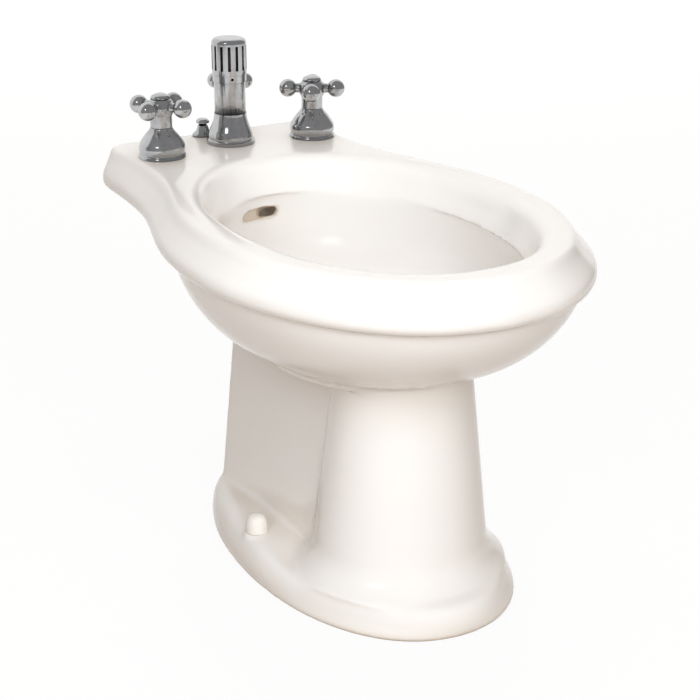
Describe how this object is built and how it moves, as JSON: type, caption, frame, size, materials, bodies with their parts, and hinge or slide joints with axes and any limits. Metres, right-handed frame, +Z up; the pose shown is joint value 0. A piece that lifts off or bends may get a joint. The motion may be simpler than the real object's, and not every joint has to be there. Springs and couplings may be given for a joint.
{
  "type": "bidet",
  "caption": "Pedestal bidet of glazed china with over-rim fittings: two cross-handle taps, a transfer valve, a vacuum breaker tower, an upward spray and a pop-up waste.",
  "frame": {"origin": "on the floor, under the middle of the whole part's bounding box", "axes": "+Z up, +Y towards the wall and the taps, -Y towards the rounded front, +X to the right of a person who faces the taps"},
  "size_m": [0.394, 0.6202, 0.498],
  "materials": {
    "china": "white gloss glaze",
    "chrome": "polished",
    "brass": "cast and machined, dull",
    "copper_tube": "soft drawn tube, copper coloured",
    "rubber": "matt black",
    "steel": "zinc plated",
    "cap_plastic": "white gloss",
    "float_plastic": "matt dark grey"
  },
  "bodies": {
    "base": {"china_body": "china", "floor_bolts": "steel", "floor_washers": "steel", "floor_nuts": "steel", "bolt_caps": "cap_plastic", "deck_washers": "steel", "deck_locknuts": "brass", "transfer_washer": "steel", "transfer_locknut": "brass", "hot_valve": "brass", "cold_valve": "brass", "transfer_valve": "brass", "hot_bell": "chrome", "cold_bell": "chrome", "transfer_bell": "chrome", "tower_bell": "chrome", "tower_body": "chrome", "tower_collar": "chrome", "tower_hood": "chrome", "hot_link": "copper_tube", "cold_link": "copper_tube", "transfer_link": "copper_tube", "rim_tube": "copper_tube", "spray_tube": "copper_tube", "spray_head": "chrome", "spray_gasket": "rubber", "spray_locknut": "brass", "drain_flange": "chrome", "drain_gasket": "rubber", "drain_locknut": "brass", "drain_body": "brass", "pivot_cap": "brass", "tail_nut": "brass", "tailpiece": "chrome", "rod_guide": "chrome"},
    "hot_tap": {"hot_handle": "chrome", "hot_stem": "brass", "hot_button": "chrome"},
    "cold_tap": {"cold_handle": "chrome", "cold_stem": "brass", "cold_button": "chrome"},
    "transfer_tap": {"transfer_handle": "chrome", "transfer_stem": "brass", "transfer_button": "chrome"},
    "lift": {"lift_rod": "chrome", "lift_knob": "chrome", "clevis": "steel", "clevis_screw": "brass"},
    "pivot": {"pivot_rod": "steel"},
    "stopper": {"stopper": "chrome"},
    "float": {"tower_float": "float_plastic"}
  },
  "joints": [
    {"name": "hot_turn", "type": "hinge", "parent": "base", "child": "hot_tap", "pos_m": [-0.093, 0.224, 0.43], "axis": [0, 0, 1], "range_deg": [0, 90]},
    {"name": "cold_turn", "type": "hinge", "parent": "base", "child": "cold_tap", "pos_m": [0.093, 0.224, 0.43], "axis": [0, 0, -1], "range_deg": [0, 90]},
    {"name": "transfer_turn", "type": "hinge", "parent": "base", "child": "transfer_tap", "pos_m": [0.0205, 0.2845, 0.43], "axis": [0, 0, 1], "range_deg": [0, 90]},
    {"name": "lift_slide", "type": "slide", "parent": "base", "child": "lift", "axis": [0, 0, 1], "range_m": [0, 0.038]},
    {"name": "pivot_swing", "type": "hinge", "parent": "base", "child": "pivot", "pos_m": [-0.00162, 0.05796, 0.186], "axis": [0.9985, 0.054, 0], "range_deg": [0, 9.6]},
    {"name": "stopper_slide", "type": "slide", "parent": "base", "child": "stopper", "axis": [0, 0, 1], "range_m": [-0.005, 0]},
    {"name": "float_lift", "type": "slide", "parent": "base", "child": "float", "axis": [0, 0, 1], "range_m": [0, 0.004]}
  ],
  "couplings": [
    {"joint": "pivot_swing", "follows": "lift_slide", "rad_per_m": 4.3496},
    {"joint": "stopper_slide", "follows": "lift_slide", "ratio": -0.1308}
  ]
}
